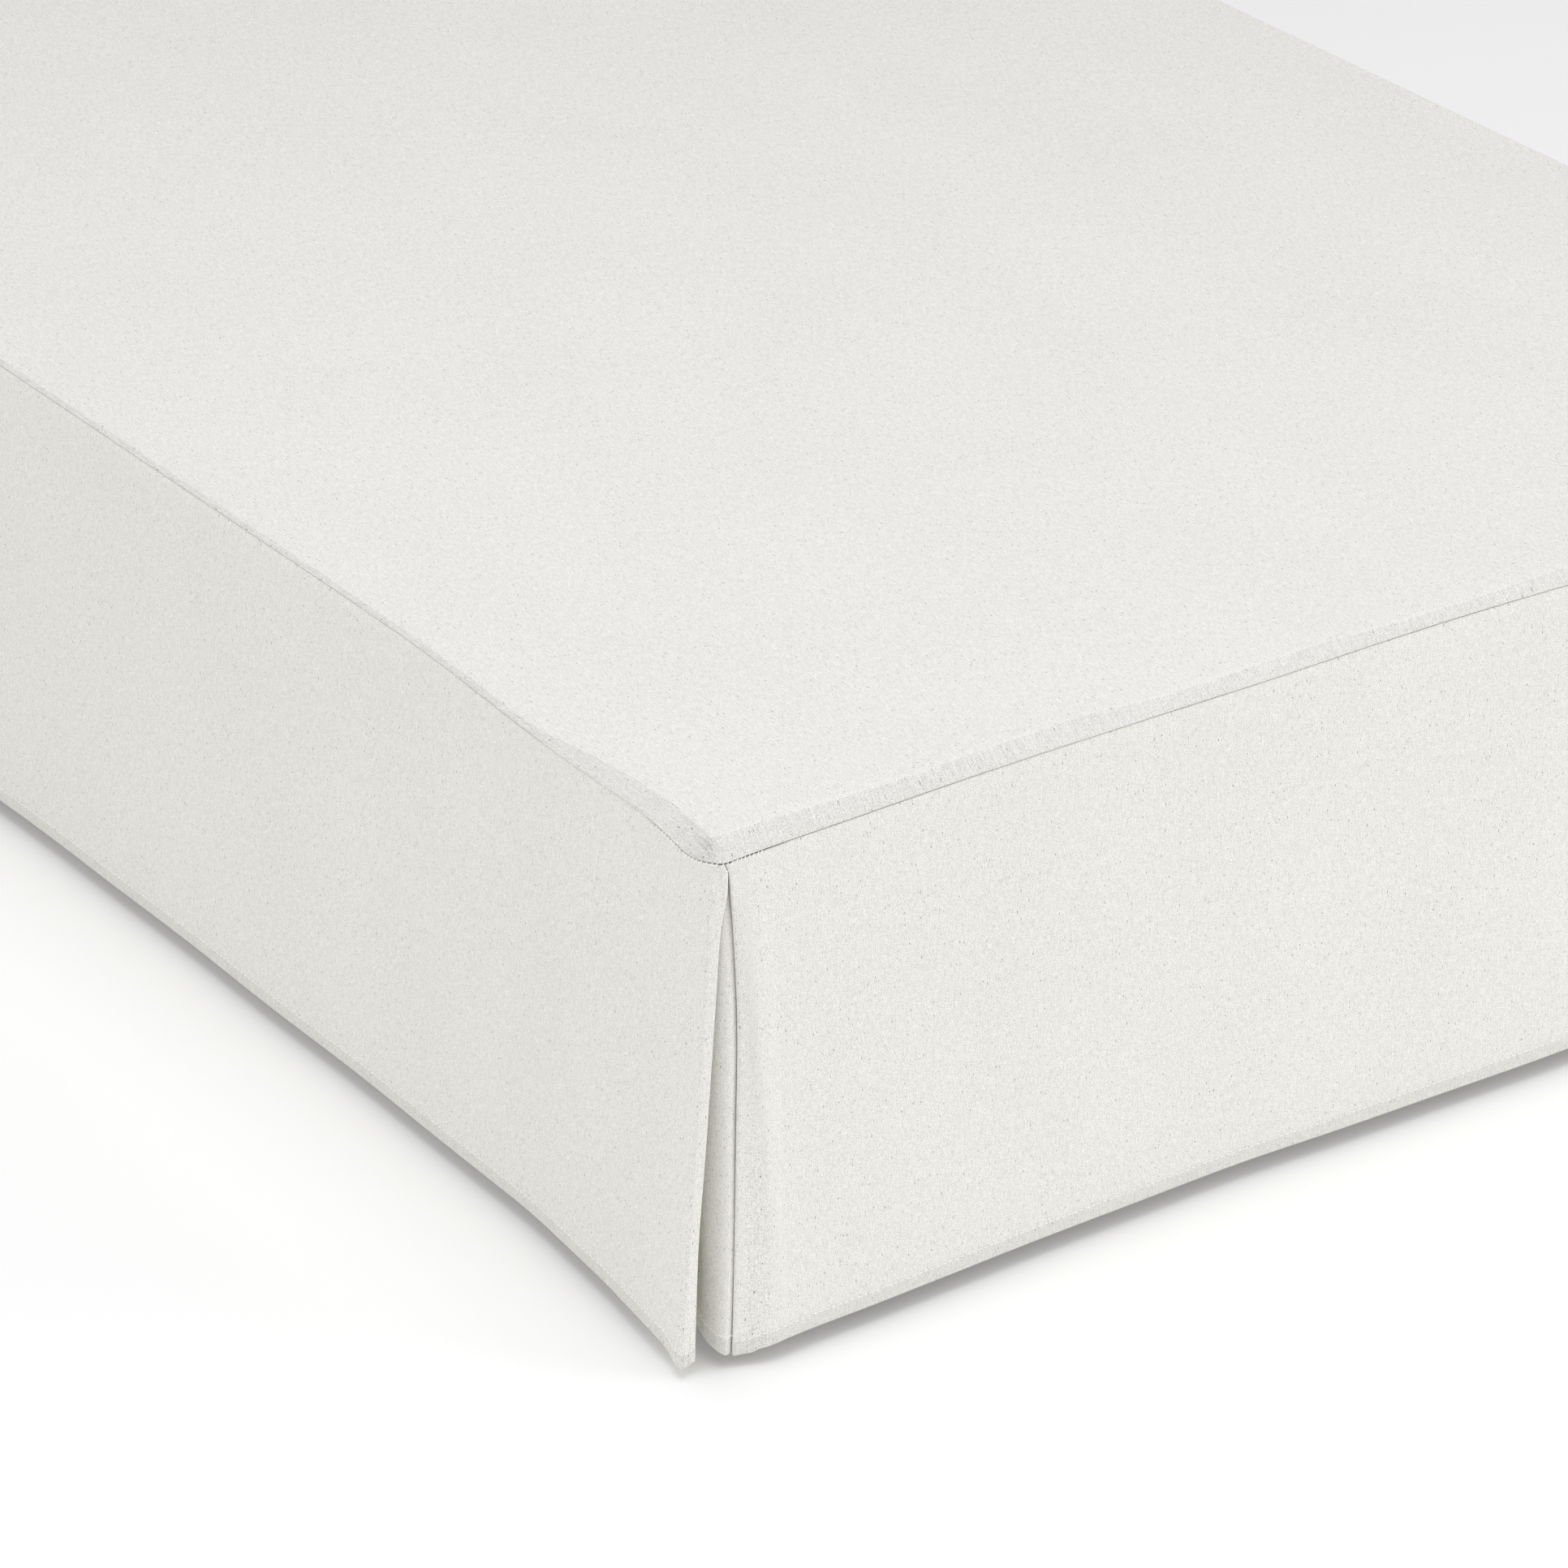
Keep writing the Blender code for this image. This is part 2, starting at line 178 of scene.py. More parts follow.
# Stations along half a long side, from its corner: (along, edge_out, seam_out, seam_down, hem_out,
# open, bulge).  The top leaves its flat at edge_out, where its seam allowance begins.  open is 1
# for a seam that gapes and less for one nearly closed, and bulge is how far the seam allowance
# pushes the skirt out below the seam.
SIDE_RUN = (
    (8.0, -1.2, 8.5, 9.7, 25.2, 1.0, 0.0),
    (22.0, -3.2, 8.5, 6.7, 23.4, 1.0, 0.0),
    (40.0, -4.4, 8.5, 4.4, 21.0, 1.0, 0.0),
    (64.0, -4.4, 8.5, 3.3, 17.8, 1.0, 0.0),
    (107.0, -0.6, 8.4, 3.0, 14.2, 1.0, 0.0),
    (149.0, 4.4, 7.3, 2.8, 11.4, 0.9, 0.0),
    (190.0, 2.6, 5.2, 2.4, 10.2, 0.8, 0.0),
    (232.0, 0.4, 2.8, 2.1, 8.9, 0.7, 0.1),
    (280.0, -1.0, 1.4, 1.8, 7.6, 0.65, 0.3),
    (359.0, -1.6, 0.8, 1.8, 5.9, 0.6, 0.8),
    (480.0, -1.6, 0.8, 1.8, 5.4, 0.6, 1.0),
    (720.0, -1.6, 0.8, 1.8, 5.7, 0.6, 0.7),
    (LENGTH / 2, -1.6, 0.8, 1.8, 5.7, 0.6, 0.6),
)

# Stations along half a foot or head end, in the same columns.
END_RUN = (
    (30.0, 3.6, 11.8, 10.0, 29.2, 1.0, 0.0),
    (50.0, 3.8, 11.1, 9.8, 28.2, 1.0, 0.0),
    (76.0, 4.4, 10.8, 9.3, 27.0, 1.0, 0.0),
    (115.0, 4.2, 10.2, 8.4, 24.8, 1.0, 0.0),
    (157.0, 2.0, 9.6, 7.6, 22.9, 1.0, 0.0),
    (200.0, 0.2, 9.9, 6.6, 21.1, 1.0, 0.0),
    (222.0, -0.8, 9.9, 6.4, 20.3, 1.0, 0.0),
    (279.0, 4.0, 9.7, 6.2, 19.2, 1.0, 0.0),
    (330.0, 2.6, 9.3, 6.2, 18.7, 1.0, 0.0),
    (372.0, 1.5, 8.8, 5.8, 19.1, 1.0, 0.0),
    (425.0, 3.6, 8.3, 5.3, 19.5, 1.0, 0.0),
    (WIDTH / 2, 3.8, 8.2, 5.2, 19.6, 1.0, 0.0),
)

# The end's stations with one more where its seam leaves the corner.
END_FROM_CORNER = ((8.0, 4.0, 13.4, 10.0, 0.0, 1.0, 0.0), *END_RUN)

# The seam round a corner, from the long side to the end: (x, y, down).
SEAM_CORNER = (
    (-8.5, 8.0, 9.7),
    (-8.3, 2.5, 10.0),
    (-7.5, -3.3, 10.0),
    (-5.4, -7.3, 10.0),
    (-2.9, -10.5, 10.0),
    (-0.4, -13.0, 10.0),
    (4.0, -13.6, 10.0),
    (8.0, -13.4, 10.0),
)

# The edge of the flat round a corner: (x, y), and the share of the turn at which it has its point.
EDGE_CORNER = ((1.2, 8.0), (0.3, -3.6), (8.0, -4.0))
MITRE = 0.6

# Painted shade at the top's corner, laid on as extra plies that darken the cloth: (x, y, reach,
# extra plies).
PAINTED_CORNER_SHADE = (-4.0, -3.0, 6.0, 1.2)

# A long skirt's turn round its corner to the pleat's edge, by depth:
# (depth, bend_along, bend_out, nose_along, nose_out, edge_along, edge_out).
SIDE_TURN = (
    (0.00, -2.6, 7.6, -9.4, 4.9, -13.0, -1.4),
    (0.02, -3.0, 8.3, -10.2, 5.3, -13.4, -3.2),
    (0.05, -3.5, 9.2, -10.8, 5.9, -13.4, -3.0),
    (0.13, -4.5, 10.4, -11.5, 7.4, -12.2, 0.4),
    (0.31, -5.0, 13.0, -12.6, 11.8, -12.7, 4.8),
    (0.55, -4.6, 17.8, -14.4, 17.4, -14.0, 11.0),
    (0.80, -3.5, 23.2, -16.2, 24.0, -14.6, 17.2),
    (1.00, -2.0, 26.6, -17.6, 28.6, -14.0, 19.0),
)

# An end skirt's way from its last upright ridge to the pleat's edge, where it rolls back, by depth:
# (depth, ridge_along, ridge_out, roll_along, roll_out, edge_along, edge_out).
END_TURN = (
    (0.00, 13.0, 13.2, 7.2, 12.9, 2.0, 12.0),
    (0.02, 13.0, 14.3, 8.8, 13.9, 3.9, 12.4),
    (0.05, 13.0, 15.4, 9.2, 14.8, 4.5, 12.6),
    (0.13, 14.0, 17.2, 10.6, 16.2, 6.3, 12.8),
    (0.31, 16.0, 20.0, 11.6, 17.7, 7.8, 13.9),
    (0.55, 18.0, 23.6, 9.2, 19.8, 5.3, 16.3),
    (0.80, 20.0, 27.0, 6.3, 21.9, 2.3, 18.8),
    (1.00, 17.0, 29.6, 2.9, 24.3, -1.0, 21.4),
)

# A pleat underlay's way round the corner, by depth:
# (depth, side_x, flank_x, flank_y, nose_x, nose_y, turn_x, turn_y, end_y).
UNDERLAY_TURN = (
    (0.00, -3.4, -2.6, -2.6, 2.4, -9.4, 5.4, -8.8, -7.2),
    (0.05, -3.4, -3.0, -3.0, 3.0, -10.3, 6.2, -9.9, -7.6),
    (0.13, -3.4, -3.8, -2.8, 4.4, -12.0, 7.4, -11.4, -8.0),
    (0.31, -3.2, -4.6, -3.0, 5.5, -13.9, 8.6, -12.8, -9.2),
    (0.55, -2.6, -5.2, -4.6, 3.2, -16.2, 6.1, -15.2, -10.8),
    (0.80, -1.8, -6.2, -8.2, 0.2, -18.9, 3.3, -17.8, -11.8),
    (1.00, -1.2, -7.4, -11.0, -5.0, -22.2, 0.3, -19.9, -12.6),
)

# How much more the seam gapes round a corner: (along, gape).
CORNER_GAPE = ((0.0, 0.35), (33.0, 0.35), (44.0, 0.0), (60.0, 0.0))

# The dip of a skirt's hem next to a pleat: (along, dip).
SIDE_DIP = ((-18.0, 4.0), (-11.0, 3.4), (-5.0, 2.4), (0.0, 1.2), (8.0, 0.4), (30.0, 0.0))
END_DIP = ((-4.0, 3.2), (7.5, 2.9), (11.5, 1.1), (18.0, 0.3), (26.0, 0.0))

# The dip of a pleat underlay's hem round its turn: (from_turn, dip).
UNDERLAY_DIP = ((0.0, 4.6), (4.0, 3.8), (12.0, 2.2), (22.0, 0.6), (30.0, 0.0))

# How the seam allowance's bulge falls away down a long skirt: (down, share).
BULGE_FALL = ((0.0, 0.0), (1.5, 0.5), (4.0, 1.0), (9.0, 0.95), (13.0, 0.2), (16.0, -0.12),
              (26.0, 0.0))

# The groove of the hem's stitches and the stand of the hem below it: (down, out).
HEM_RELIEF = ((0.0, 0.0), (DROP - HEM_STITCH - 2.0, 0.0), (DROP - HEM_STITCH, -0.08),
              (DROP - HEM_STITCH + 1.5, 0.12), (DROP, 0.12))

# Soft creases near a pleat, on the cloth, as (from_fold, down) to (from_fold, down), in
# millimetres, with the width and height of the trough or ridge.
SIDE_CREASES = (
    (8.0, 50.0, 14.0, 262.0, 2.6, -0.35),
    (4.5, 180.0, 6.0, 270.0, 1.2, -0.12),
)
END_CREASES = ((3.0, 20.0, 25.0, 262.0, 4.0, 0.85),)

# The weave: (across, along, tint, relief, shift) of each layer of noise, in millimetres, where
# tint and relief are how far its tone and height go either way, over the noise's NOISE_RANGE.
WEAVE = (
    (0.42, 0.5, 0.26, 0.035, 3.0),
    (0.5, 5.0, 0.05, 0.012, 11.0),
    (3.0, 0.5, 0.02, 0.006, 17.0),
    (1.2, 9.0, 0.01, 0.0, 23.0),
    (90.0, 150.0, 0.01, 0.0, 29.0),
)
NOISE_RANGE = (0.2, 0.8)

# Single threads, each of its own tone: (across, along, tint, shift).
THREADS = (
    (0.42, 0.45, 0.10, 0.0),
    (0.42, 2.4, 0.05, 0.31),
    (1.6, 0.42, 0.02, 0.17),
)

# Fine ribs along the warp where the cloth lies double, (across, along, tint, relief, shift), and
# the share of its tone that is left there; beyond one ply the same share paints shade at the top's
# corners.
RIBS = (0.8, 16.0, 0.05, 0.02, 31.0)
DOUBLE_AND_SHADE_TONE = 0.915

WHITE = (1.0, 1.0, 1.0, 1.0)
COTTON = (0.88, 0.868, 0.80)
WEAVE_BUMP = 0.2
# A faint glow on the thread: painted light that brightens the stitches.
THREAD_GLOW = 0.06

# Flecks: (across, along, share, size, strength, colour, shift) of each kind: the size of a cell of
# their lattice in millimetres, the share of its cells with a fleck, and a fleck's size in cells.
# A fleck fades over FLECK_EDGE of its size and may lie LATTICE_STRAY of a cell off its place.
FLECKS = (
    (0.9, 4.6, 0.32, 0.27, 0.52, (0.40, 0.395, 0.375), 5.0),
    (2.4, 7.0, 0.36, 0.14, 0.88, (0.19, 0.188, 0.175), 9.0),
    (1.7, 2.4, 0.12, 0.22, 0.6, (0.96, 0.955, 0.93), 15.0),
)
FLECK_EDGE = 0.6
LATTICE_STRAY = 0.9

# The corners of the bed; flare is how far a pleat opens beside the one in the photo.
Corner = namedtuple("Corner", "name side_x side_y flare")
FOOT_LEFT = Corner("foot_left", -1, -1, 1.00)
FOOT_RIGHT = Corner("foot_right", 1, -1, 0.90)
HEAD_RIGHT = Corner("head_right", 1, 1, 1.00)
HEAD_LEFT = Corner("head_left", -1, 1, 0.86)
CORNERS = (FOOT_LEFT, FOOT_RIGHT, HEAD_RIGHT, HEAD_LEFT)

# The two kinds of side.  swell is how far a skirt stands out below its seam, turn_steps are the
# steps between the points of its turn, and its return reaches back over return_stations stations.
Kind = namedtuple("Kind", "run turn swell turn_steps return_stations length creases dip")
SIDE = Kind(SIDE_RUN, SIDE_TURN, 1.0, (6, 8, 5), 3, LENGTH, SIDE_CREASES, SIDE_DIP)
END = Kind(END_RUN, END_TURN, 2.2, (5, 8, 7), 2, WIDTH, END_CREASES, END_DIP)

# The skirts; billow scales how far the hem swells out towards the last corner, and the waves down
# each skirt are (length, height at the hem, shift), in millimetres and turns.
Skirt = namedtuple("Skirt", "name kind first last billow waves")
SKIRTS = (
    Skirt("skirt_left", SIDE, FOOT_LEFT, HEAD_LEFT, 0.8, ((410, 0.7, 0.1), (173, 0.35, 0.4))),
    Skirt("skirt_foot", END, FOOT_LEFT, FOOT_RIGHT, 1.8, ((330, 0.6, 0.6), (141, 0.3, 0.2))),
    Skirt("skirt_right", SIDE, FOOT_RIGHT, HEAD_RIGHT, 1.4, ((370, 0.8, 0.3), (190, 0.4, 0.7))),
    Skirt("skirt_head", END, HEAD_LEFT, HEAD_RIGHT, -1.5, ((290, 0.7, 0.8), (155, 0.3, 0.5))),
)


# ----------------------------------------------------------
# Lines and tables
# ----------------------------------------------------------

def unit(vector):
    """Vectors of length one."""
    return vector / np.linalg.norm(vector, axis=-1, keepdims=True)


def curved(start, end, leaving, arriving, t):
    """Points at shares t of the way on curves from start to end, with the given end slopes."""
    return (
        start * (1 + 2 * t) * (1 - t) ** 2
        + leaving * t * (1 - t) ** 2
        + end * t * t * (3 - 2 * t)
        + arriving * t * t * (t - 1)
    )


def eased(table, places):
    """A table's other columns at places of its first column, on curves that never overshoot."""
    first, *others = np.array(table, float).T
    values = np.column_stack(others)
    gaps = np.diff(first)[:, None]
    slopes = np.diff(values, axis=0) / gaps
    product = slopes[:-1] * slopes[1:]
    total = slopes[:-1] + slopes[1:]
    inner = np.where(product > 0, 2 * product / np.where(product > 0, total, 1), 0)
    tangents = np.vstack((slopes[:1], inner, slopes[-1:]))
    places = np.clip(places, first[0], first[-1])
    index = np.clip(np.searchsorted(first, places, side="right") - 1, 0, len(gaps) - 1)
    gap = gaps[index]
    t = np.expand_dims((places - first[index]), -1) / gap
    return curved(
        values[index], values[index + 1], tangents[index] * gap, tangents[index + 1] * gap, t)


def smooth_through(points, steps):
    """A smooth line through points, with the given number of steps between each two."""
    points = np.array(points, float)
    lengths = np.linalg.norm(np.diff(points, axis=0), axis=1)[:, None]
    slopes = np.diff(points, axis=0) / lengths
    inner = slopes[:-1] * lengths[1:] + slopes[1:] * lengths[:-1]
    inner /= lengths[:-1] + lengths[1:]
    tangents = np.vstack((slopes[:1], inner, slopes[-1:]))
    line = []
    for index, (count, length) in enumerate(zip(steps, lengths)):
        leaving, arriving = tangents[index:index + 2] * length
        t = (np.arange(count) / count)[:, None]
        line.append(curved(points[index], points[index + 1], leaving, arriving, t))
    return np.vstack((*line, points[-1:]))


def inset(line, distance):
    """A line moved towards the bed, kept parallel to its legs at each turn."""
    legs = unit(np.diff(line, axis=0))
    middle = np.vstack((legs[:1], legs)) + np.vstack((legs, legs[-1:]))
    inward = np.column_stack((middle[:, 1], -middle[:, 0]))
    return line + 2 * distance * inward / np.sum(middle ** 2, axis=1)[:, None]


def spans(table):
    """Places along the spans of a table of (from, to, steps)."""
    places = [np.linspace(start, end, steps, endpoint=False) for start, end, steps in table]
    return np.append(np.concatenate(places), table[-1][1])


def at(values, distance, places):
    """Rows of values, known at distances along a line, at other places on it."""
    return np.stack([np.interp(places, distance, column) for column in values.T], axis=-1)


def travelled(points):
    """How far along a line of points each one lies."""
    legs = np.linalg.norm(np.diff(points, axis=0), axis=1)
    return np.concatenate(((0.0,), np.cumsum(legs)))


# ----------------------------------------------------------
# The skirts' shape
# ----------------------------------------------------------

def run_steps(run):
    """Steps between a run's stations: short ones near the corner, longer ones further on."""
    steps = []
    for (start, *_), (end, *_) in zip(run, run[1:]):
        step = NEAR_STEP if end < NEAR_REACH else RUN_STEP
        steps.append(max(1, round((end - start) / step)))
    return tuple(steps)


def flared(table, depth, flare):
    """A turn table's row at a depth, its growth since the seam scaled by the corner's flare."""
    seam = eased(table, 0.0)
    return seam + flare * (eased(table, depth) - seam)


def run_points(kind, near_flare, far_flare, depth):
    """The (along, out) places of half a skirt's stations at a depth."""
    points = []
    for along, _, seam_out, _, hem_out, _, _ in kind.run:
        flare = near_flare + (far_flare - near_flare) * along / kind.length
        hem = seam_out + flare * (hem_out - seam_out)
        swollen = kind.swell * (1 - math.exp(-depth * DROP / SWELL_REACH))
        points.append((along, seam_out + swollen + (hem - seam_out - kind.swell) * depth))
    return points


def fold_at(edge, beyond):
    """The centre of the fold at a pleat's edge, and the way from it to a point beyond."""
    centre = edge + FOLD_RADIUS * unit(beyond - edge)
    reach = beyond - centre
    lean = math.asin(FOLD_RADIUS / np.linalg.norm(reach))
    onward = np.array((
        math.cos(lean) * reach[0] + math.sin(lean) * reach[1],
        math.cos(lean) * reach[1] - math.sin(lean) * reach[0],
    ))
    return centre, unit(onward)


def section(kind, near_flare, far_flare, depth):
    """Half a skirt's section at a depth, from its return to its middle, and its fold's place."""
    edge, *turn = flared(kind.turn, depth, near_flare).reshape(-1, 2)[::-1]
    centre, onward = fold_at(edge, turn[0])
    inward = np.array((onward[1], -onward[0]))
    angles = np.radians(np.arange(FOLD_STEP, 180, FOLD_STEP))[:, None]
    fold = centre + FOLD_RADIUS * (np.cos(angles) * inward - np.sin(angles) * onward)
    run = run_points(kind, near_flare, far_flare, depth)
    controls = np.array([centre - FOLD_RADIUS * inward, *turn, *run])
    steps = run_steps(kind.run)
    front = smooth_through(controls, kind.turn_steps + steps)
    folded = len(turn) + kind.return_stations
    behind = inset(controls[:folded + 2], 2 * FOLD_RADIUS)[:folded + 1]
    back = smooth_through(behind, kind.turn_steps + steps[:kind.return_stations - 1])
    return np.vstack((back[::-1], fold, front)), len(back) + len(fold) // 2


def in_frame(corner, x, y, down):
    """Places inward from a corner and down, in the frame's metres."""
    return np.stack((
        corner.side_x * (HALF_WIDTH - x * MM),
        corner.side_y * (HALF_LENGTH - y * MM),
        TOP_HEIGHT - down * MM,
    ), axis=-1)


def half_skirt(kind, near, far):
    """Half a skirt's outer face in the frame.

    Gives the grid, each place's distance from the pleat's fold, and each column's from the corner.
    """
    rows, folds = [], []
    for fall in spans(SKIRT_ROWS):
        depth = fall / DROP
        line, fold = section(kind, near.flare, far.flare, depth)
        along, out = line.T
        _, _, start, _, opening, _ = eased(kind.run, along).T
        gape = SEAM_GAP + eased(CORNER_GAPE, along)[:, 0]
        start = start + gape + SKIRT_BELOW_SEAM * opening
        dip = eased(kind.dip, along)[:, 0]
        down = start + (DROP + dip - HEM_RADIUS - start) * depth
        x, y = (-out, along) if kind is SIDE else (along, -out)
        rows.append(in_frame(near, x, y, down))
        distance = travelled(line)
        folds.append(distance - distance[fold])
    return np.array(rows), np.array(folds), along[None, :]


def creased(creases, fold, fall):
    """The height of soft troughs and ridges, each along a straight line on the cloth."""
    height = np.zeros_like(fold)
    for fold_1, fall_1, fold_2, fall_2, width, tall in creases:
        across, onward = fold_2 - fold_1, fall_2 - fall_1
        share = ((fold - fold_1) * across + (fall - fall_1) * onward) / (across ** 2 + onward ** 2)
        share = np.clip(share, 0, 1)
        off = np.hypot(fold - fold_1 - share * across, fall - fall_1 - share * onward)
        height += tall * np.exp(-(off / width) ** 2) * np.sqrt(np.sin(math.pi * share))
    return height


def normals_of(grid):
    """The unit normals of a grid of points, pointing away from the bed."""
    normals = unit(np.cross(np.gradient(grid, axis=1), np.gradient(grid, axis=0)))
    return normals if np.sum(normals * grid) > 0 else -normals


def moved_out(grid, millimetres):
    """A grid moved along its normals."""
    return grid + normals_of(grid) * np.expand_dims(millimetres, -1) * MM


def hemmed(grid, lip):
    """A grid with its lip, if any, turned in at the seam, and its hem turned up inside."""
    level = normals_of(grid)
    level[..., 2] = 0
    level = unit(level)
    up = np.array((0.0, 0.0, 1.0))
    rows = []
    if lip is not None:
        radius, reach = LIP_RADIUS * lip[:, None], LIP_RUN * lip[:, None]
        for step in range(LIP_RUN_STEPS, 0, -1):
            back = radius + reach * step / LIP_RUN_STEPS
            rows.append(grid[0] + (radius * up - back * level[0]) * MM)
        for angle in np.radians(np.linspace(90, 0, LIP_STEPS, endpoint=False)):
            back = radius * (1 - math.cos(angle))
            rise = radius * math.sin(angle)
            rows.append(grid[0] + (rise * up - back * level[0]) * MM)
    rows.extend(grid)
    for angle in np.radians(np.linspace(0, 180, HEM_STEPS + 1)[1:]):
        back = HEM_RADIUS * (1 - math.cos(angle))
        fall = HEM_RADIUS * math.sin(angle)
        rows.append(grid[-1] - (fall * up + back * level[-1]) * MM)
    for row in HEM_ROWS:
        rows.append(grid[row] - 2 * HEM_RADIUS * level[row] * MM)
    return np.array(rows)


def skirt_grid(skirt):
    """A skirt's outer face as a grid, with how open its seam is at each column."""
    kind = skirt.kind
    falls = spans(SKIRT_ROWS)
    halves = []
    for near, far in ((skirt.first, skirt.last), (skirt.last, skirt.first)):
        grid, fold, inward = half_skirt(kind, near, far)
        fall = np.broadcast_to(falls[:, None], fold.shape)
        halves.append((grid, creased(kind.creases, fold, fall) * near.flare, fold, inward))
    grid, relief, fold, inward = (
        np.concatenate((first, last[:, -2::-1]), axis=1) for first, last in zip(*halves)
    )
    along = travelled(grid[len(grid) // 2]) / MM
    share = along / along[-1]
    towards_last = np.clip((share - BILLOW_FROM) / (BILLOW_FULL - BILLOW_FROM), 0, 1)
    billow = skirt.billow * np.sin(math.pi * share) ** 2 * towards_last
    for length, height, shift in skirt.waves:
        billow = billow + height * np.sin(2 * math.pi * (along / length + shift))
    depth = (falls / DROP)[:, None]
    relief = relief + depth * billow * np.clip(fold / WAVES_FROM_FOLD, 0, 1)
    *_, opening, bulge = eased(kind.run, inward[0]).T
    relief = relief + bulge * eased(BULGE_FALL, falls) + eased(HEM_RELIEF, falls)
    lip = opening * np.clip(np.abs(fold[0]) / LIP_FROM_FOLD, LIP_AT_FOLD, 1)
    return moved_out(grid, relief), lip


# ----------------------------------------------------------
# Meshes
# ----------------------------------------------------------

def placed(name, data):
    """A new object in the scene."""
    thing = bpy.data.objects.new(name, data)
    bpy.context.scene.collection.objects.link(thing)
    return thing


def quads(indices):
    """The corner indices of a grid's faces."""
    above, below = indices[:-1], indices[1:]
    return np.stack((above[:, :-1], below[:, :-1], below[:, 1:], above[:, 1:]), axis=-1)


def shell(name, grid, across, along, double, surface):
    """A closed sheet of cloth from the grid of its outer face.

    across and along are the cloth's own coordinates in millimetres, and double is 1 where the
    cloth lies double and more where painted shade darkens the top's corners.  The OFBake map lays
    out both faces and the edges without overlaps.
    """
    rows, columns = grid.shape[:2]
    inside = moved_out(grid, np.full((rows, columns), -CLOTH))
    points = np.concatenate((grid, inside)).reshape(-1, 3)
    outer = np.arange(rows * columns).reshape(rows, columns)
    inner = outer + rows * columns
    u, v = np.meshgrid(
        np.linspace(BAKE_MARGIN, 1 - BAKE_MARGIN, columns),
        np.linspace(BAKE_MARGIN, BAKE_HALF_TOP, rows),
    )
    blocks = [(outer, u, v), (inner[:, ::-1], u[:, ::-1], v + BAKE_SHIFT)]
    borders = ((inner, outer, 0, -BAKE_EDGE, 0.0), (outer, inner, -1, 0.0, BAKE_EDGE))
    blocks += [
        (np.stack((first[end], second[end])), np.stack((u[0], u[0])),
         np.stack((v[end] + low, v[end] + high)))
        for first, second, end, low, high in borders
    ]
    blocks += [
        (np.stack((first[:, end], second[:, end]), 1),
         np.stack((u[:, end] + low, u[:, end] + high), 1), np.stack((v[:, 0], v[:, 0]), 1))
        for first, second, end, low, high in borders
    ]
    faces = np.concatenate([quads(indices).reshape(-1, 4) for indices, _, _ in blocks])
    layout = np.concatenate([
        np.stack((quads(us), quads(vs)), axis=-1).reshape(-1, 2) for _, us, vs in blocks
    ])
    mesh = bpy.data.meshes.new(name)
    mesh.from_pydata(points.tolist(), [], faces.tolist())
    mesh.uv_layers.new(name="OFBake").data.foreach_set("uv", layout.ravel())
    both = np.stack(np.broadcast_arrays(across, along), axis=-1).reshape(-1, 2) * MM
    both = np.concatenate((both, both))[faces.ravel()]
    mesh.uv_layers.new(name="cloth").data.foreach_set("uv", both.ravel())
    doubled = np.broadcast_to(double, (rows, columns)).ravel()
    plies_and_shade = mesh.attributes.new("double", "FLOAT", "POINT")
    plies_and_shade.data.foreach_set("value", np.concatenate((doubled, doubled)))
    shape = bmesh.new()
    shape.from_mesh(mesh)
    bmesh.ops.recalc_face_normals(shape, faces=shape.faces)
    shape.to_mesh(mesh)
    shape.free()
    mesh.shade_smooth()
    mesh.materials.append(surface)
    return placed(name, mesh)


def thread_mesh(name, middles, runs, outs, lengths, thread, surface):
    """Short stitches in one mesh: each a thread that dips into the cloth at both ends."""
    template = []
    for place in np.linspace(-1, 1, THREAD_RINGS):
        radius = thread * math.sqrt(max(THREAD_TIP, 1 - place ** 6))
        height = thread * (THREAD_RISE - THREAD_DIVE * place ** 4)
        for turn in np.arange(THREAD_SIDES) * 2 * math.pi / THREAD_SIDES:
            template.append((place, radius * math.cos(turn), height + radius * math.sin(turn)))
    template = np.array(template)
    runs, outs = unit(runs), unit(outs)
    across = np.cross(runs, outs)
    points = (
        middles[:, None]
        + runs[:, None] * (template[:, :1] * lengths[:, None, None] / 2 * MM)
        + across[:, None] * template[:, 1:2] * MM
        + outs[:, None] * template[:, 2:] * MM
    )
    ring = np.arange(THREAD_SIDES)
    last = len(template) - THREAD_SIDES
    faces = [
        (start + a, start + b, start + THREAD_SIDES + b, start + THREAD_SIDES + a)
        for start in range(0, last, THREAD_SIDES) for a, b in zip(ring, np.roll(ring, -1))
    ]
    faces += [ring[::-1], ring + last]
    every = [
        [int(corner) + stitch * len(template) for corner in face]
        for stitch in range(len(middles)) for face in faces
    ]
    mesh = bpy.data.meshes.new(name)
    mesh.from_pydata(points.reshape(-1, 3).tolist(), [], every)
    mesh.shade_smooth()
    mesh.materials.append(surface)
    return placed(name, mesh)


def hem_stitches(name, grid, surface, random):
    """A running stitch along a hem, on the row of the grid nearest to the stitch line."""
    falls = (TOP_HEIGHT - grid[:, grid.shape[1] // 2, 2]) / MM
    row = int(np.argmin(np.abs(falls - (DROP - HEM_STITCH))))
    line, outs = grid[row], normals_of(grid)[row]
    distance = travelled(line) / MM
    places = np.arange(HEM_PITCH, distance[-1] - HEM_PITCH, HEM_PITCH)
    places = places + random.normal(0, HEM_STRAY, len(places))
    lengths = HEM_PITCH * random.uniform(*HEM_SHARES, len(places))
    runs = at(line, distance, places + 1) - at(line, distance, places - 1)
    ahead, behind = (at(line, distance, places + way * lengths / 2) for way in (1, -1))
    return thread_mesh(
        name, (ahead + behind) / 2, runs, at(outs, distance, places), lengths, HEM_THREAD, surface)


# ----------------------------------------------------------
# Materials
# ----------------------------------------------------------

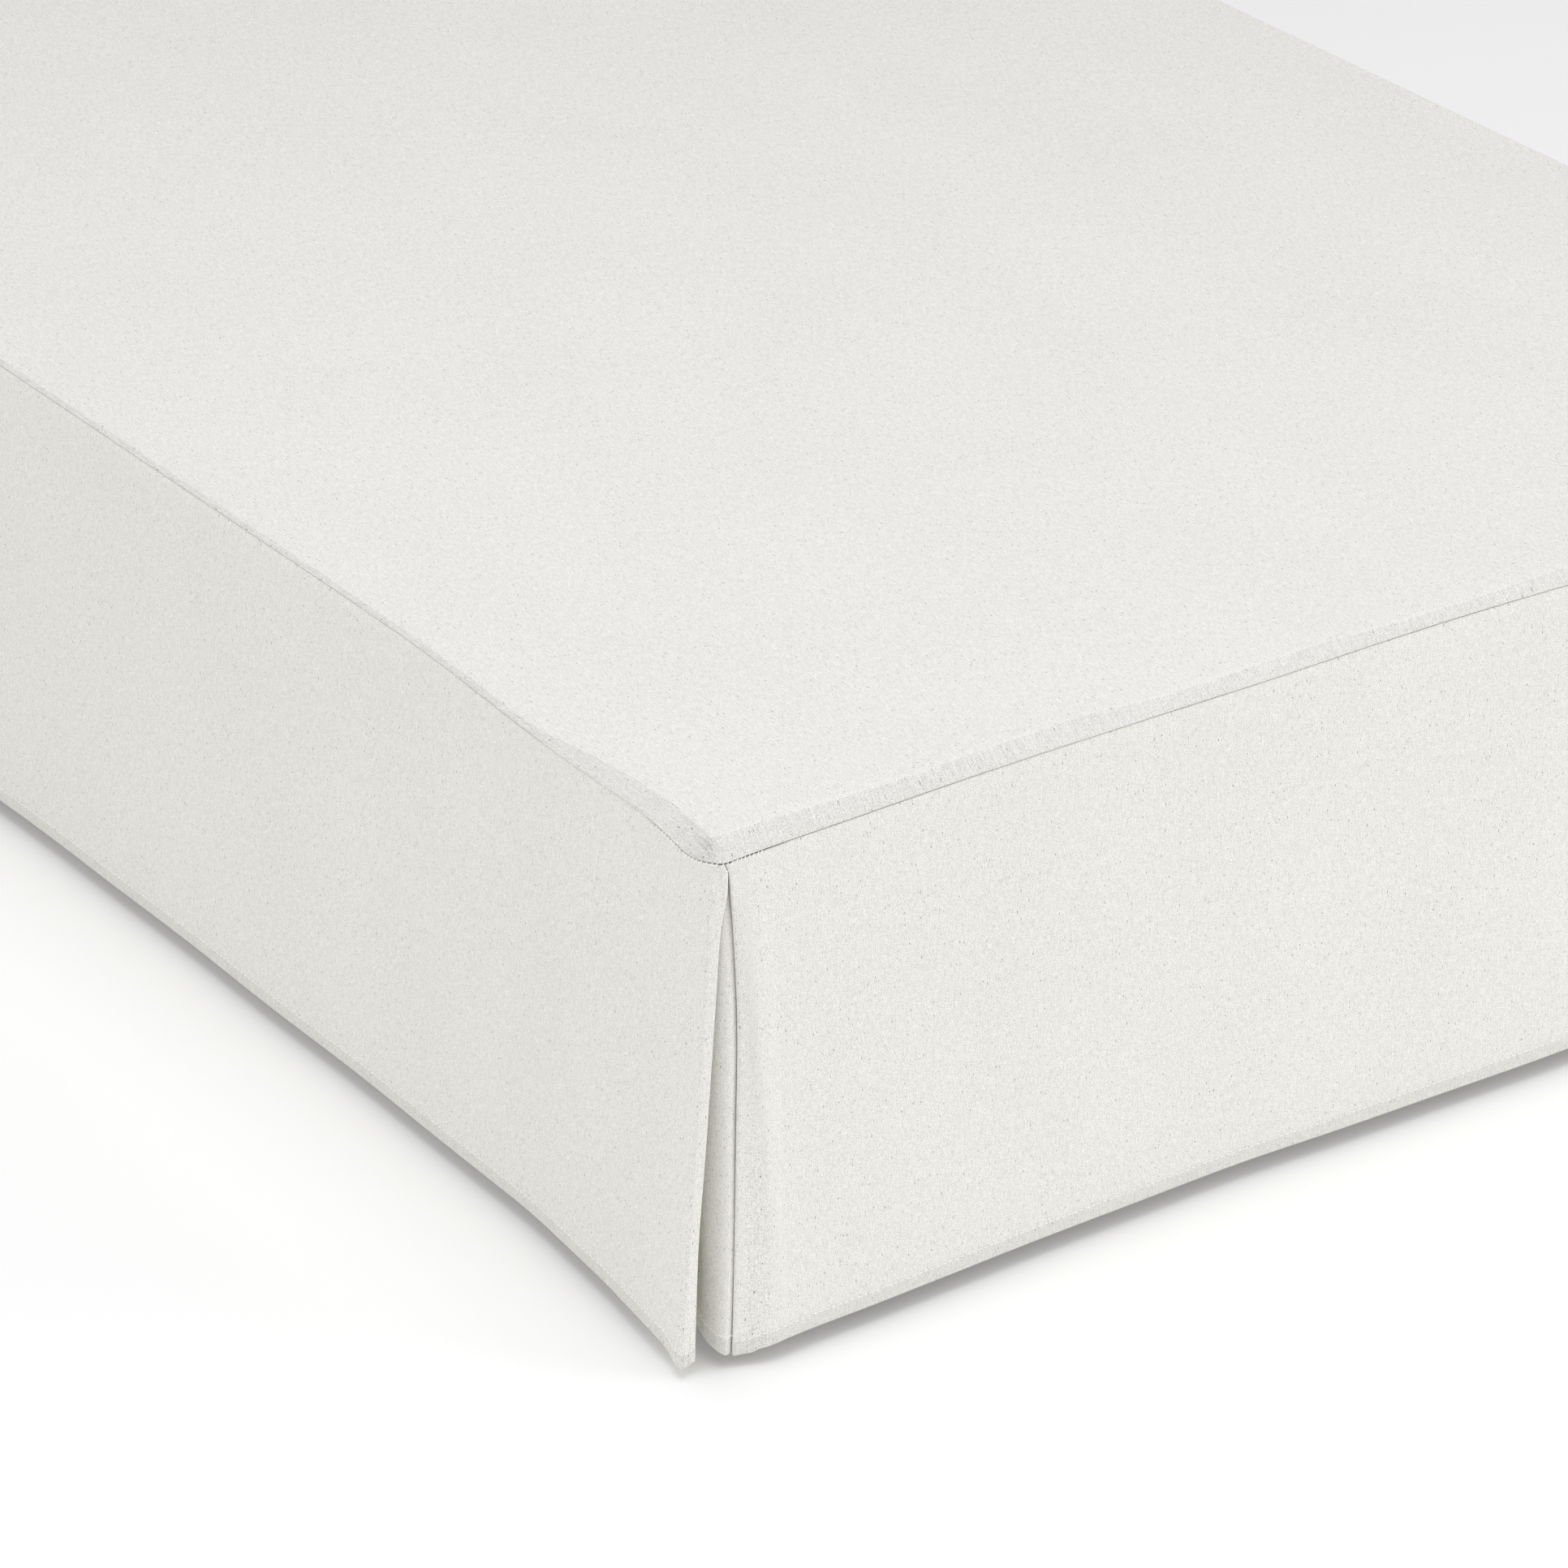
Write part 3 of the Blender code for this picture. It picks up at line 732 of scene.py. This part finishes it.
class Nodes:
    """A material's node tree, built by naming each node's inputs."""

    def __init__(self, name):
        self.material = bpy.data.materials.new(name)
        self.material.use_nodes = True
        self.tree = self.material.node_tree

    def add(self, kind, inputs=(), output=0, **settings):
        """A node with its settings and its inputs, given as (socket, value or link)."""
        node = self.tree.nodes.new(kind)
        for key, value in settings.items():
            setattr(node, key, value)
        for socket, value in inputs:
            self.feed(node.inputs[socket], value)
        return node.outputs[output]

    def feed(self, socket, value):
        """Link an output to a socket, or set the socket's own value."""
        if isinstance(value, bpy.types.NodeSocket):
            self.tree.links.new(value, socket)
        else:
            socket.default_value = value

    def finished(self, values):
        """The material, with its shader's sockets fed."""
        shader = self.tree.nodes["Principled BSDF"]
        for socket, value in values.items():
            self.feed(shader.inputs[socket], value)
        return self.material

    def maths(self, operation, first, second):
        """The sum, product or the like of two values."""
        return self.add("ShaderNodeMath", ((0, first), (1, second)), operation=operation)

    def ranged(self, value, low, high, to_low, to_high, clamp=True):
        """A value carried from one range to another."""
        inputs = ((0, value), (1, low), (2, high), (3, to_low), (4, to_high))
        return self.add("ShaderNodeMapRange", inputs, clamp=clamp)

    def swing(self, noise, reach):
        """A noise that goes up to reach either way."""
        return self.ranged(noise, *NOISE_RANGE, -reach, reach)

    def mixed(self, factor, first, second, blend="MIX"):
        """Two colours mixed."""
        inputs = ((0, factor), (6, first), (7, second))
        return self.add("ShaderNodeMix", inputs, 2, data_type="RGBA", blend_type=blend)

    def stretched(self, vector, across, along, shift):
        """A vector scaled so that one unit is the given lengths, in millimetres."""
        scale = (1 / (across * MM), 1 / (along * MM), 1.0)
        return self.add("ShaderNodeMapping", ((0, vector), (1, (shift, shift, 0.0)), (3, scale)))

    def noise(self, vector, detail):
        """Noise in the plane of a stretched vector."""
        inputs = ((0, vector), ("Scale", 1.0), ("Detail", detail))
        return self.add("ShaderNodeTexNoise", inputs, noise_dimensions="2D")

    def solid_noise(self, scale, detail, stretch=None):
        """Noise through the whole of an object, in places that may be stretched."""
        place = self.add("ShaderNodeTexCoord", output=3)
        if stretch:
            place = self.add("ShaderNodeMapping", ((0, place), (3, stretch)))
        return self.add("ShaderNodeTexNoise", ((0, place), ("Scale", scale), ("Detail", detail)))

    def bump(self, strength, distance, height):
        """A bumped normal."""
        inputs = (("Strength", strength), ("Distance", distance), ("Height", height))
        return self.add("ShaderNodeBump", inputs)

    def cells(self, vector, tint):
        """A random tone for each cell of a lattice, up to tint either way."""
        cell = self.add("ShaderNodeVectorMath", ((0, vector),), operation="FLOOR")
        chance = self.add("ShaderNodeTexWhiteNoise", (("Vector", cell),), noise_dimensions="2D")
        return self.ranged(chance, 0.0, 1.0, -tint, tint)

    def flecks(self, vector, share, size, strength):
        """Small spots in a share of a lattice's cells, each of its own size and strength."""
        inputs = ((0, vector), ("Scale", 1.0), ("Randomness", LATTICE_STRAY))
        distance, colour = (
            self.add("ShaderNodeTexVoronoi", inputs, output, voronoi_dimensions="2D", feature="F1")
            for output in (0, 1)
        )
        chance = self.add("ShaderNodeSeparateColor", ((0, colour),), 0)
        radius = self.ranged(chance, 1 - share, 1.0, 0.0, size)
        inside = self.maths("DIVIDE", self.maths("SUBTRACT", radius, distance), FLECK_EDGE * size)
        amount = self.add("ShaderNodeClamp", ((0, inside), (1, 0.0), (2, 1.0)))
        return self.maths("MULTIPLY", amount, strength)


def woven_cotton(name, colour):
    """Natural cotton: a fine plain weave with slubs down the warp, pale nubs and dark flecks."""
    nodes = Nodes(name)
    cloth = nodes.add("ShaderNodeUVMap", uv_map="cloth")
    tone = 1.0
    height = 0.0
    for across, along, tint, relief, shift in WEAVE:
        threads = nodes.noise(nodes.stretched(cloth, across, along, shift), detail=1.0)
        tone = nodes.maths("ADD", tone, nodes.swing(threads, tint))
        height = nodes.maths("ADD", height, nodes.swing(threads, relief))
    for across, along, tint, shift in THREADS:
        threads = nodes.cells(nodes.stretched(cloth, across, along, shift), tint)
        tone = nodes.maths("ADD", tone, threads)
    # The plies darken the cloth where it lies double, and paint shade at the top's corners.
    plies_and_shade = nodes.add("ShaderNodeAttribute", output=2, attribute_name="double")
    across, along, tint, relief, shift = RIBS
    ribs = nodes.noise(nodes.stretched(cloth, across, along, shift), detail=0.0)
    tone = nodes.maths("ADD", tone, nodes.maths("MULTIPLY", plies_and_shade, nodes.swing(ribs, tint)))
    height = nodes.maths("ADD", height, nodes.maths("MULTIPLY", plies_and_shade, nodes.swing(ribs, relief)))
    darker = nodes.ranged(plies_and_shade, 0.0, 1.0, 1.0, DOUBLE_AND_SHADE_TONE, clamp=False)
    tone = nodes.maths("MULTIPLY", tone, darker)
    shade = nodes.add("ShaderNodeCombineColor", ((0, tone), (1, tone), (2, tone)))
    base = nodes.mixed(1.0, (*colour, 1.0), shade, "MULTIPLY")
    for across, along, share, size, strength, speck, shift in FLECKS:
        amount = nodes.flecks(nodes.stretched(cloth, across, along, shift), share, size, strength)
        base = nodes.mixed(amount, base, (*speck, 1.0))
    return nodes.finished({
        "Base Color": base,
        "Normal": nodes.bump(WEAVE_BUMP, MM, height),
        "Roughness": 0.92,
        "Specular IOR Level": 0.2,
        "Sheen Weight": 0.05,
        "Sheen Roughness": 0.5,
    })


def sewing_thread(name):
    """White spun thread, a little brighter than the cloth: paler, and lit by a faint painted glow.
    """
    nodes = Nodes(name)
    twist = nodes.solid_noise(scale=2500.0, detail=1.0)
    return nodes.finished({
        "Base Color": nodes.mixed(twist, (0.985, 0.98, 0.955, 1.0), (1.0, 1.0, 0.985, 1.0)),
        # A faint painted glow brightens the thread.
        "Emission Color": WHITE,
        "Emission Strength": THREAD_GLOW,
        "Roughness": 0.7,
        "Specular IOR Level": 0.3,
    })


def ticking(name):
    """The box spring's plain ticking: a fine greyish weave."""
    nodes = Nodes(name)
    weave = nodes.solid_noise(scale=900.0, detail=2.0)
    broad = nodes.solid_noise(scale=9.0, detail=2.0)
    fine = nodes.mixed(weave, (0.56, 0.54, 0.50, 1.0), (0.68, 0.66, 0.62, 1.0))
    base = nodes.mixed(nodes.ranged(broad, 0.3, 0.7, 0.0, 0.15), fine, (0.50, 0.48, 0.44, 1.0))
    return nodes.finished({
        "Base Color": base,
        "Normal": nodes.bump(0.3, 0.3 * MM, weave),
        "Roughness": 0.9,
        "Specular IOR Level": 0.2,
    })


def stained_wood(name):
    """Dark stained wood with its grain along the leg."""
    nodes = Nodes(name)
    grain = nodes.solid_noise(scale=6.0, detail=4.0, stretch=(60.0, 60.0, 4.0))
    base = nodes.mixed(grain, (0.045, 0.028, 0.018, 1.0), (0.115, 0.078, 0.055, 1.0))
    normal = nodes.bump(0.2, 0.2 * MM, grain)
    return nodes.finished({"Base Color": base, "Normal": normal, "Roughness": 0.45})


# ----------------------------------------------------------
# The pieces
# ----------------------------------------------------------

def rim_rows(anchor, edge, seam, down, opening):
    """The top's section from a point of its flat, over its edge and down to the seam and its lip.

    Rows of (x, y, down, flat_x, flat_y, plies), where flat_x and flat_y are the cloth's own places.
    """
    anchor, edge, seam = np.array(anchor), np.array(edge), np.array(seam)
    level, slope = np.linalg.norm(edge - anchor), np.linalg.norm(seam - edge)
    inward, outward = (edge - anchor) / level, (seam - edge) / slope
    bend = min(RIM_BEND, BEND_SHARE * level, BEND_SHARE * slope)
    mark = min(RIM_MARK, bend / 2)
    rows = []
    for distance in (
        (level - bend) / 2, level - bend, level - mark, level + mark, level + bend,
        *(level + bend + share * (slope - bend) for share in SLOPE_SHARES), level + slope,
    ):
        past = distance - level
        fall = 0.0 if past < -bend else past if past > bend else (past + bend) ** 2 / (4 * bend)
        place = edge + past * (outward if past > 0 else inward)
        rows.append((*place, fall * down / slope, *place, float(past > 0)))
    steep = math.atan2(down, slope)
    radius = LIP_RADIUS * opening
    for angle in np.linspace(steep, math.pi, LIP_STEPS + 1)[1:]:
        place = seam + outward * radius * (math.sin(angle) - math.sin(steep))
        fall = down + radius * (math.cos(steep) - math.cos(angle))
        rows.append((*place, fall, *(seam + outward * radius * (angle - steep)), 1.0))
    for _ in range(LIP_RUN_STEPS):
        x, y = rows[-1][:2] - outward * LIP_RUN * opening / LIP_RUN_STEPS
        rows.append((x, y, fall, x, y, 1.0))
    return np.array(rows)


def corner_places(turn):
    """The edge of the flat and the seam, at a turn from 0 to 1 round a corner."""
    edge = at(np.array(EDGE_CORNER), (0.0, MITRE, 1.0), turn)
    seam = smooth_through(SEAM_CORNER, (CORNER_STEPS,) * (len(SEAM_CORNER) - 1))
    distance = travelled(seam)
    x, y, down = at(seam, distance, turn * distance[-1])
    return edge, (x, y), down


def stations_inward(kind):
    """Places from a corner to the middle of a side where the top gets a row of points."""
    run = ((RIM_INSET,), *(row for row in kind.run if row[0] > RIM_INSET))
    places = [np.linspace(a[0], b[0], steps, endpoint=False)
              for a, b, steps in zip(run, run[1:], run_steps(run))]
    return np.append(np.concatenate(places), kind.length / 2)


def top_quarter(corner):
    """A quarter of the top's outer face: a grid over the flat and out over the rim.

    Gives the places in the frame, the cloth's own places in millimetres, and the plies, with
    painted shade at the corner laid on as extra plies.
    """
    ring = RIM_ROWS
    xs, ys = stations_inward(END), stations_inward(SIDE)
    local = np.zeros((ring + len(ys), ring + len(xs), 6))
    x, y = np.meshgrid(xs, ys)
    flat = np.zeros_like(x)
    local[ring:, ring:] = np.stack((x, y, flat, x, y, flat), axis=-1)
    for index, place in enumerate(xs):
        edge, seam, down, _, opening, _ = eased(END_FROM_CORNER, place)
        rows = rim_rows((place, RIM_INSET), (place, -edge), (place, -seam), down, opening)
        local[:ring, ring + index] = rows[::-1]
    for index, place in enumerate(ys):
        edge, seam, down, _, opening, _ = eased(SIDE_RUN, place)
        rows = rim_rows((RIM_INSET, place), (-edge, place), (-seam, place), down, opening)
        local[ring + index, :ring] = rows[::-1]
    # Round the corner, the rows of both rims meet on a mitre.
    for i in range(1, ring + 1):
        for j in range(1, ring + 1):
            turn = MITRE * j / i if i >= j else 1 - (1 - MITRE) * i / j
            edge, seam, down = corner_places(turn)
            rows = rim_rows((RIM_INSET, RIM_INSET), edge, seam, down, 1.0)
            local[ring - j, ring - i] = rows[max(i, j) - 1]
    x, y, down, flat_x, flat_y, plies_and_shade = np.moveaxis(local, -1, 0)
    # Painted shade: extra plies near the corner darken the cloth there.
    spot_x, spot_y, reach, extra_shade = PAINTED_CORNER_SHADE
    plies_and_shade = plies_and_shade * (1 + extra_shade * np.exp(-((x - spot_x) ** 2 + (y - spot_y) ** 2) / reach ** 2))
    places = in_frame(corner, x, y, down)
    across = corner.side_x * (WIDTH / 2 - flat_x)
    along = corner.side_y * (LENGTH / 2 - flat_y)
    return np.concatenate((places, np.stack((across, along, plies_and_shade), axis=-1)), axis=-1)


def ladder_line(corner):
    """The open part of the seam round a corner, in the frame."""
    places = []
    for y in LADDER_SIDE:
        _, seam, down, *_ = eased(SIDE_RUN, y)
        places.append((-seam, y, down))
    places.extend(SEAM_CORNER)
    for x in LADDER_END:
        _, seam, down, *_ = eased(END_FROM_CORNER, x)
        places.append((x, -seam, down))
    x, y, down = smooth_through(places, (LADDER_STEPS,) * (len(places) - 1)).T
    return in_frame(corner, x, y, down + (SEAM_GAP + CORNER_GAPE[0][1]) / 2 + 2 * LIP_RADIUS)


def ladder_stitches(thread, random):
    """Slanted stitches across the seam where it gapes, and a tack above each pleat."""
    middles, runs, outs, lengths = [], [], [], []
    for corner in CORNERS:
        line = ladder_line(corner)
        turned = corner.side_x * corner.side_y
        distance = travelled(line) / MM
        places = np.arange(LADDER_PITCH, distance[-1], LADDER_PITCH)
        places = places + random.normal(0, LADDER_STRAY, len(places))
        ahead, behind = (at(line, distance, places + way / 2) for way in (1, -1))
        onward = unit(ahead - behind)
        out = unit(np.cross(onward, (0.0, 0.0, turned)))
        slant = LADDER_SLANT * random.uniform(*LADDER_SLANT_SHARES, (len(places), 1))
        middles.append(at(line, distance, places) + 2 * out * LADDER_THREAD * MM)
        runs.append(slant * onward + (0.0, 0.0, 1.0))
        outs.append(out)
        lengths.append(LADDER_LENGTH * random.uniform(*LADDER_LENGTH_SHARES, len(places)))
        x, y, up = TACK_RUN
        for tack in TACKS:
            middles.append(in_frame(corner, *tack)[None])
            runs.append(np.array(((x * corner.side_x, y * corner.side_y, up),)))
            outs.append(np.array(((0.0, corner.side_y, 0.0),)))
            lengths.append(np.array((TACK_LENGTH,)))
    runs, outs = unit(np.concatenate(runs)), np.concatenate(outs)
    outs = unit(outs - runs * np.sum(runs * outs, axis=1, keepdims=True))
    return thread_mesh(
        "top_seam_stitches", np.concatenate(middles), runs, outs, np.concatenate(lengths),
        LADDER_THREAD, thread)


def make_top(cotton, thread, random):
    """The top panel: flat on the box spring, with its rim turned down to the seam."""
    foot = np.concatenate((top_quarter(FOOT_LEFT), top_quarter(FOOT_RIGHT)[:, -2::-1]), axis=1)
    head = np.concatenate((top_quarter(HEAD_LEFT), top_quarter(HEAD_RIGHT)[:, -2::-1]), axis=1)
    whole = np.concatenate((foot, head[-2::-1]))
    across, along, plies_and_shade = np.moveaxis(whole[..., 3:], -1, 0)
    piece = shell("top_cloth", whole[..., :3], across, along, plies_and_shade, cotton)
    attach(piece, "root")
    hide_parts("top_panel")
    stitches = ladder_stitches(thread, random)
    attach(stitches, "root")


def dress(node, grid, lip, cotton, thread, random):
    """A hanging panel with its lip, hem and stitches, standing in for its CAD node."""
    whole = hemmed(grid, lip)
    across = travelled(grid[len(grid) // 2]) / MM
    along = travelled(whole[:, whole.shape[1] // 2]) / MM
    fold = len(whole) - 1 - HEM_STEPS - len(HEM_ROWS)
    double = np.clip((along - (along[fold] - HEM_STITCH)) / DOUBLE_EDGE, 0, 1)
    name = node + "_cloth"
    piece = shell(name, whole, across[None, :], along[:, None], double[:, None], cotton)
    stitches = hem_stitches(name + "_hem_stitches", grid, thread, random)
    for made in (piece, stitches):
        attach(made, "root")
    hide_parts(node)


def make_skirts(cotton, thread, random):
    """The four skirts."""
    for skirt in SKIRTS:
        dress(skirt.name, *skirt_grid(skirt), cotton, thread, random)


def underlay_grid(corner):
    """A pleat underlay's outer face, round its corner."""
    rows = []
    for fall in spans(SKIRT_ROWS):
        depth = fall / DROP
        side_x, *flank_and_nose, turn_x, turn_y, end_y = flared(UNDERLAY_TURN, depth, corner.flare)
        line = smooth_through((
            (side_x + UNDERLAY_SIDE_STRAY, UNDERLAY_REACH),
            (side_x, UNDERLAY_SIDE_FROM),
            *np.reshape(flank_and_nose, (2, 2)),
            (turn_x, turn_y),
            (UNDERLAY_END_FROM, end_y),
            (UNDERLAY_REACH, end_y + UNDERLAY_END_STRAY),
        ), UNDERLAY_STEPS)
        from_turn = np.linalg.norm(line - (turn_x, turn_y), axis=1)
        foot = DROP - UNDERLAY_LIFT + eased(UNDERLAY_DIP, from_turn)[:, 0] - HEM_RADIUS
        down = UNDERLAY_TOP + (foot - UNDERLAY_TOP) * depth
        rows.append(in_frame(corner, *line.T, down))
    return np.array(rows)


def make_underlays(cotton, thread, random):
    """The underlays of the four pleats."""
    for corner in CORNERS:
        dress("pleat_" + corner.name, underlay_grid(corner), None, cotton, thread, random)


def finish_frame_parts():
    """The materials of the CAD parts that no cloth replaces."""
    cloth, wood = ticking("ticking"), stained_wood("leg_wood")
    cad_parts["box_spring"].material_slots[0].material = cloth
    for corner in CORNERS:
        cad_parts["leg_" + corner.name].material_slots[0].material = wood


# ----------------------------------------------------------
# The studio
# ----------------------------------------------------------

# The camera's place is given from the foot left corner of the flat, in metres, its way in degrees.
FOOT_LEFT_CORNER = Vector((-HALF_WIDTH, -HALF_LENGTH, TOP_HEIGHT))
CAMERA_HEADING = 55.37
CAMERA_PITCH = 26.74
CAMERA_LENS = 165.2
CAMERA_FAR = 200.0
CAMERA_FROM_CORNER = Vector((-1.7310, -2.5721, 1.5889))

FLOOR_HALF = 30.0
FLOOR_GLOW = 0.11

# The lights, each seen from the same corner: (name, heading, height, distance, power), in degrees,
# metres and watts.
COOL_WHITE = (0.99, 0.993, 1.045)
WORLD_STRENGTH = 0.48
LIGHT_SIZE = 2.4
LIGHTS = (
    ("front", 235, 12, 3.5, 8.7),
    ("right", 325, 35, 3.5, 13.0),
    ("low_right", 318, 12, 5.0, 33.5),
    ("left", 170, 35, 3.5, 16.0),
    ("overhead", 60, 88, 3.0, 34.0),
)


def heading_to(heading, height):
    """The way to a heading and a height over the level, in degrees."""
    heading, height = math.radians(heading), math.radians(height)
    return Vector((
        math.cos(heading) * math.cos(height),
        math.sin(heading) * math.cos(height),
        math.sin(height),
    ))


def make_camera():
    """A long lens that looks down on the foot left corner."""
    camera = placed("camera", bpy.data.cameras.new("camera"))
    camera.data.lens = CAMERA_LENS
    camera.data.clip_end = CAMERA_FAR
    camera.location = FOOT_LEFT_CORNER + CAMERA_FROM_CORNER
    look = heading_to(CAMERA_HEADING, -CAMERA_PITCH)
    camera.rotation_euler = look.to_track_quat("-Z", "Y").to_euler()
    bpy.context.scene.camera = camera


def make_floor():
    """A wide pale floor that glows a little, to go white as in the photo."""
    mesh = bpy.data.meshes.new("studio_floor")
    shape = bmesh.new()
    bmesh.ops.create_grid(shape, x_segments=1, y_segments=1, size=FLOOR_HALF)
    shape.to_mesh(mesh)
    shape.free()
    mesh.materials.append(Nodes("studio_floor").finished({
        "Base Color": (0.97, 0.967, 0.932, 1.0),
        "Roughness": 1.0,
        "Specular IOR Level": 0.0,
        "Emission Color": WHITE,
        "Emission Strength": FLOOR_GLOW,
    }))
    placed("studio_floor", mesh)


def make_area_light(name, way, distance, power):
    """A soft round light that looks at the foot left corner."""
    light = placed(name, bpy.data.lights.new(name, "AREA"))
    light.data.shape = "DISK"
    light.data.size = LIGHT_SIZE
    light.data.energy = power
    light.data.color = COOL_WHITE
    light.location = FOOT_LEFT_CORNER + distance * way
    look = FOOT_LEFT_CORNER - light.location
    light.rotation_euler = look.to_track_quat("-Z", "Y").to_euler()


def make_lights():
    """An even white surround with large soft lights."""
    scene = bpy.context.scene
    scene.world = bpy.data.worlds.new("studio")
    scene.world.use_nodes = True
    background = scene.world.node_tree.nodes["Background"]
    background.inputs["Color"].default_value = (*COOL_WHITE, 1.0)
    background.inputs["Strength"].default_value = WORLD_STRENGTH
    for name, heading, height, distance, power in LIGHTS:
        make_area_light(name, heading_to(heading, height), distance, power)
    scene.view_settings.view_transform = "Standard"


def main():
    """Build the scene."""
    random = np.random.default_rng(RANDOM_SEED)
    cotton = woven_cotton("cover_cotton", COTTON)
    thread = sewing_thread("sewing_thread")
    make_camera()
    make_floor()
    make_lights()
    make_top(cotton, thread, random)
    make_skirts(cotton, thread, random)
    make_underlays(cotton, thread, random)
    finish_frame_parts()


main()
